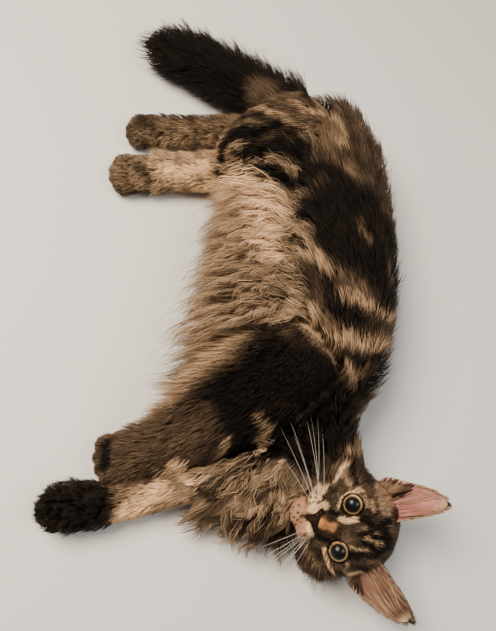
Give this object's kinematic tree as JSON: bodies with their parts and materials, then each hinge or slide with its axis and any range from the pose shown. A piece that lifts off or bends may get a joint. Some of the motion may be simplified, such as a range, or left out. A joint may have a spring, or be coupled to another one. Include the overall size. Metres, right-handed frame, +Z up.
{
  "type": "maine coon cat model",
  "caption": "Life-size still model of a young long-haired brown tabby cat lying on its side with its face turned up, for display on a floor or base.",
  "frame": {"origin": "middle of the model's footprint, on the floor it lies on", "axes": "+Z up; +Y from the head to the tail; the back faces +X, and the legs and belly face -X"},
  "size_m": [0.3924, 0.7248, 0.1243],
  "materials": {
    "coat_face": "short tabby hair with dark stripes",
    "nose_leather": "damp dark leather",
    "eye": "clear wet eye, dark with a thin gold ring",
    "ear_skin": "thin pink skin with fine pale hair",
    "coat_leg": "short ticked hair, grey brown",
    "coat_body": "long soft tabby hair, dark brown with paler bands",
    "coat_pale": "long wavy hair, cream and tan",
    "coat_tail": "long straight hair, near black"
  },
  "bodies": {
    "root": {"head": "coat_face", "nose": "nose_leather", "eye_right": "eye", "eye_left": "eye", "ear_right": "ear_skin", "ear_left": "ear_skin", "foreleg_right": "coat_leg", "hind_leg_right": "coat_leg", "neck": "coat_body", "ruff": "coat_pale", "chest": "coat_body", "belly": "coat_pale", "hips": "coat_body", "tail_base": "coat_tail", "tail_tip": "coat_tail", "foreleg_left": "coat_leg", "hind_leg_left": "coat_leg", "forepaw_right": "coat_leg", "forepaw_left": "coat_leg", "hindpaw_right": "coat_leg", "hindpaw_left": "coat_leg"}
  },
  "joints": []
}
